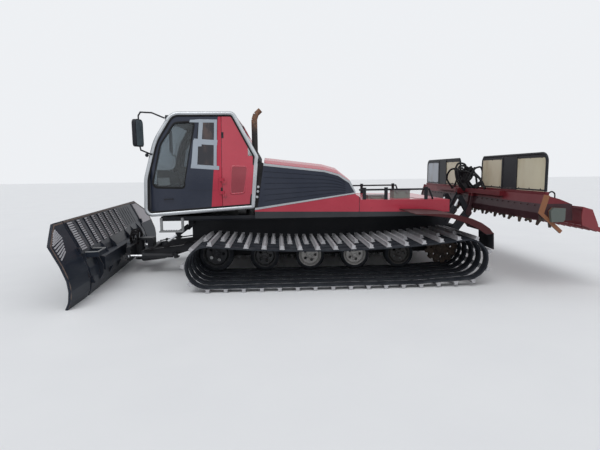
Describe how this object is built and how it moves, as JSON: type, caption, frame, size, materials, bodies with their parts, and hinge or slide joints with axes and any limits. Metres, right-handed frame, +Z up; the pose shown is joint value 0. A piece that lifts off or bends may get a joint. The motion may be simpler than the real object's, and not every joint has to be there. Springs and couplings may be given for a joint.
{
  "type": "snowcat groomer",
  "caption": "Tracked snow groomer with a glazed cab, an engine hood, a load deck, a winged all-way blade in front and a raised tiller with its finisher behind.",
  "frame": {"origin": "middle of the bounding box, on the ground that the tracks stand on", "axes": "+X to the machine's rear, +Y to its right side, +Z up; the blade faces -X"},
  "size_m": [8.4859, 5.5615, 2.9668],
  "materials": {
    "red_paint": "gloss",
    "dark_red_paint": "satin",
    "navy_paint": "gloss",
    "black_paint": "satin",
    "grey_paint": "satin",
    "silver_tube": "satin",
    "light_alloy": "worn",
    "wheel_grey": "worn",
    "rusty_steel": "rusty",
    "rod_chrome": "polished",
    "tyre_rubber": "matt",
    "belt_rubber": "matt",
    "hose_rubber": "matt",
    "cab_glass": "clear",
    "seat_fabric": "woven",
    "dash_plastic": "matt",
    "cream_plastic": "satin",
    "red_plastic": "satin",
    "lamp_glass": "polished"
  },
  "bodies": {
    "carrier": {"tub": "black_paint", "platform": "black_paint", "engine_block": "grey_paint", "track_left": "light_alloy", "track_right": "light_alloy", "tyres": "tyre_rubber", "rims": "wheel_grey", "sprockets": "rusty_steel", "wheel_arms": "black_paint", "side_sills": "red_paint", "load_deck": "red_paint", "deck_rails": "black_paint", "deck_boxes": "grey_paint", "fenders": "dark_red_paint", "cab_shell": "red_paint", "cab_frames": "silver_tube", "windscreen": "cab_glass", "rear_glass": "cab_glass", "seats": "seat_fabric", "dashboard": "dash_plastic", "hood_sides": "navy_paint", "hood_trims": "silver_tube", "hood_hinges": "black_paint", "exhaust": "rusty_steel", "mirrors": "black_paint", "lamps": "lamp_glass", "steps": "black_paint", "rear_bracket": "black_paint"},
    "door_left_body": {"door_left": "navy_paint", "door_glass_left": "cab_glass"},
    "door_right_body": {"door_right": "navy_paint", "door_glass_right": "cab_glass"},
    "hood": {"hood_cover": "red_paint"},
    "push_arm": {"push_frame": "black_paint"},
    "blade_head": {"swivel_head": "black_paint"},
    "blade_body": {"blade": "navy_paint"},
    "left_wing": {"wing_left": "navy_paint"},
    "right_wing": {"wing_right": "navy_paint"},
    "lift_barrel_pair": {"lift_barrels": "black_paint"},
    "lift_rod_pair": {"lift_rods": "rod_chrome"},
    "left_angle_barrel": {"angle_barrel_left": "black_paint"},
    "left_angle_rod": {"angle_rod_left": "rod_chrome"},
    "right_angle_barrel": {"angle_barrel_right": "black_paint"},
    "right_angle_rod": {"angle_rod_right": "rod_chrome"},
    "lower_arms": {"tiller_frame": "black_paint"},
    "upper_link": {"top_link": "black_paint"},
    "tiller": {"tiller_housing": "dark_red_paint", "snow_shields": "cream_plastic", "shield_frames": "black_paint", "hoses": "hose_rubber"},
    "rotor": {"tiller_rotor": "rusty_steel"},
    "trailing_mat": {"finisher": "red_plastic"},
    "tiller_barrel_pair": {"tiller_barrels": "black_paint"},
    "tiller_rod_pair": {"tiller_rods": "rod_chrome"}
  },
  "joints": [
    {"name": "door_left_hinge", "type": "hinge", "parent": "carrier", "child": "door_left_body", "pos_m": [-1.606, -1.176, 1.6], "axis": [0, 0, 1], "range_deg": [0, 75]},
    {"name": "door_right_hinge", "type": "hinge", "parent": "carrier", "child": "door_right_body", "pos_m": [-1.606, 1.176, 1.6], "axis": [0, 0, -1], "range_deg": [0, 75]},
    {"name": "hood_hinge", "type": "hinge", "parent": "carrier", "child": "hood", "pos_m": [0.7, 0, 1.53], "axis": [0, 1, 0], "range_deg": [0, 50]},
    {"name": "blade_lift", "type": "hinge", "parent": "carrier", "child": "push_arm", "pos_m": [-2.2, 0, 0.52], "axis": [0, 1, 0], "range_deg": [-6, 22]},
    {"name": "lift_barrel_swing", "type": "hinge", "parent": "carrier", "child": "lift_barrel_pair", "pos_m": [-2.29, 0, 0.905], "axis": [0, 1, 0], "range_deg": [-4.8, 17.4]},
    {"name": "lift_rod_slide", "type": "slide", "parent": "lift_barrel_pair", "child": "lift_rod_pair", "axis": [-0.8061, 0, -0.5917], "range_m": [-0.1465, 0.0402]},
    {"name": "blade_angle", "type": "hinge", "parent": "push_arm", "child": "blade_head", "pos_m": [-3.4, 0, 0.36], "axis": [0, 0, 1], "range_deg": [-26.6, 17.4]},
    {"name": "angle_barrel_left_swing", "type": "hinge", "parent": "push_arm", "child": "left_angle_barrel", "pos_m": [-2.56, -0.69, 0.35], "axis": [0, 0, 1], "range_deg": [-1.4, 0.9]},
    {"name": "angle_rod_left_slide", "type": "slide", "parent": "left_angle_barrel", "child": "left_angle_rod", "axis": [-0.9986, 0.0525, 0], "range_m": [-0.194, 0.296]},
    {"name": "angle_barrel_right_swing", "type": "hinge", "parent": "push_arm", "child": "right_angle_barrel", "pos_m": [-2.56, 0.69, 0.35], "axis": [0, 0, 1], "range_deg": [-1.3, 0.9]},
    {"name": "angle_rod_right_slide", "type": "slide", "parent": "right_angle_barrel", "child": "right_angle_rod", "axis": [-0.9982, -0.0601, 0], "range_m": [-0.289, 0.19]},
    {"name": "blade_tilt", "type": "hinge", "parent": "blade_head", "child": "blade_body", "pos_m": [-3.63923, -0.01925, 0.39], "axis": [-0.9968, -0.0802, 0], "range_deg": [-8, 8]},
    {"name": "wing_left_fold", "type": "hinge", "parent": "blade_body", "child": "left_wing", "pos_m": [-3.51405, -2.07383, 0], "axis": [-0.2598, -0.0209, 0.9654], "range_deg": [-21, 34]},
    {"name": "wing_right_fold", "type": "hinge", "parent": "blade_body", "child": "right_wing", "pos_m": [-3.84415, 2.02892, 0], "axis": [0.2598, 0.0209, -0.9654], "range_deg": [-34, 21]},
    {"name": "tiller_lift", "type": "hinge", "parent": "carrier", "child": "lower_arms", "pos_m": [2.54, 0, 0.42], "axis": [0, 1, 0], "range_deg": [0, 59]},
    {"name": "tiller_level", "type": "hinge", "parent": "lower_arms", "child": "tiller", "pos_m": [3.01, 0, 1.01], "axis": [0, 1, 0], "range_deg": [-27.2, 0]},
    {"name": "top_link_swing", "type": "hinge", "parent": "carrier", "child": "upper_link", "pos_m": [2.54, 0, 0.6], "axis": [0, 1, 0], "range_deg": [0, 56.7]},
    {"name": "tiller_barrel_swing", "type": "hinge", "parent": "carrier", "child": "tiller_barrel_pair", "pos_m": [2.52, 0, 0.7], "axis": [0, 1, 0], "range_deg": [0, 69.2]},
    {"name": "tiller_rod_slide", "type": "slide", "parent": "tiller_barrel_pair", "child": "tiller_rod_pair", "axis": [0.4645, 0, 0.8855], "range_m": [0, 0.242]},
    {"name": "rotor_spin", "type": "hinge", "parent": "tiller", "child": "rotor", "pos_m": [3.31, 0, 1.18], "axis": [0, 1, 0], "continuous": true},
    {"name": "mat_hinge", "type": "hinge", "parent": "tiller", "child": "trailing_mat", "pos_m": [3.592, 0, 1.296], "axis": [0, -1, 0], "range_deg": [-3, 52]}
  ],
  "couplings": [
    {"joint": "lift_barrel_swing", "follows": "blade_lift", "ratio": 0.785},
    {"joint": "lift_rod_slide", "follows": "blade_lift", "m_per_rad": -0.38},
    {"joint": "angle_barrel_left_swing", "follows": "blade_angle", "ratio": 0.05},
    {"joint": "angle_rod_left_slide", "follows": "blade_angle", "m_per_rad": -0.635},
    {"joint": "angle_barrel_right_swing", "follows": "blade_angle", "ratio": 0.045},
    {"joint": "angle_rod_right_slide", "follows": "blade_angle", "m_per_rad": 0.62},
    {"joint": "tiller_level", "follows": "tiller_lift", "ratio": -0.46},
    {"joint": "top_link_swing", "follows": "tiller_lift", "ratio": 0.96},
    {"joint": "tiller_barrel_swing", "follows": "tiller_lift", "ratio": 1.168},
    {"joint": "tiller_rod_slide", "follows": "tiller_lift", "m_per_rad": 0.233}
  ]
}
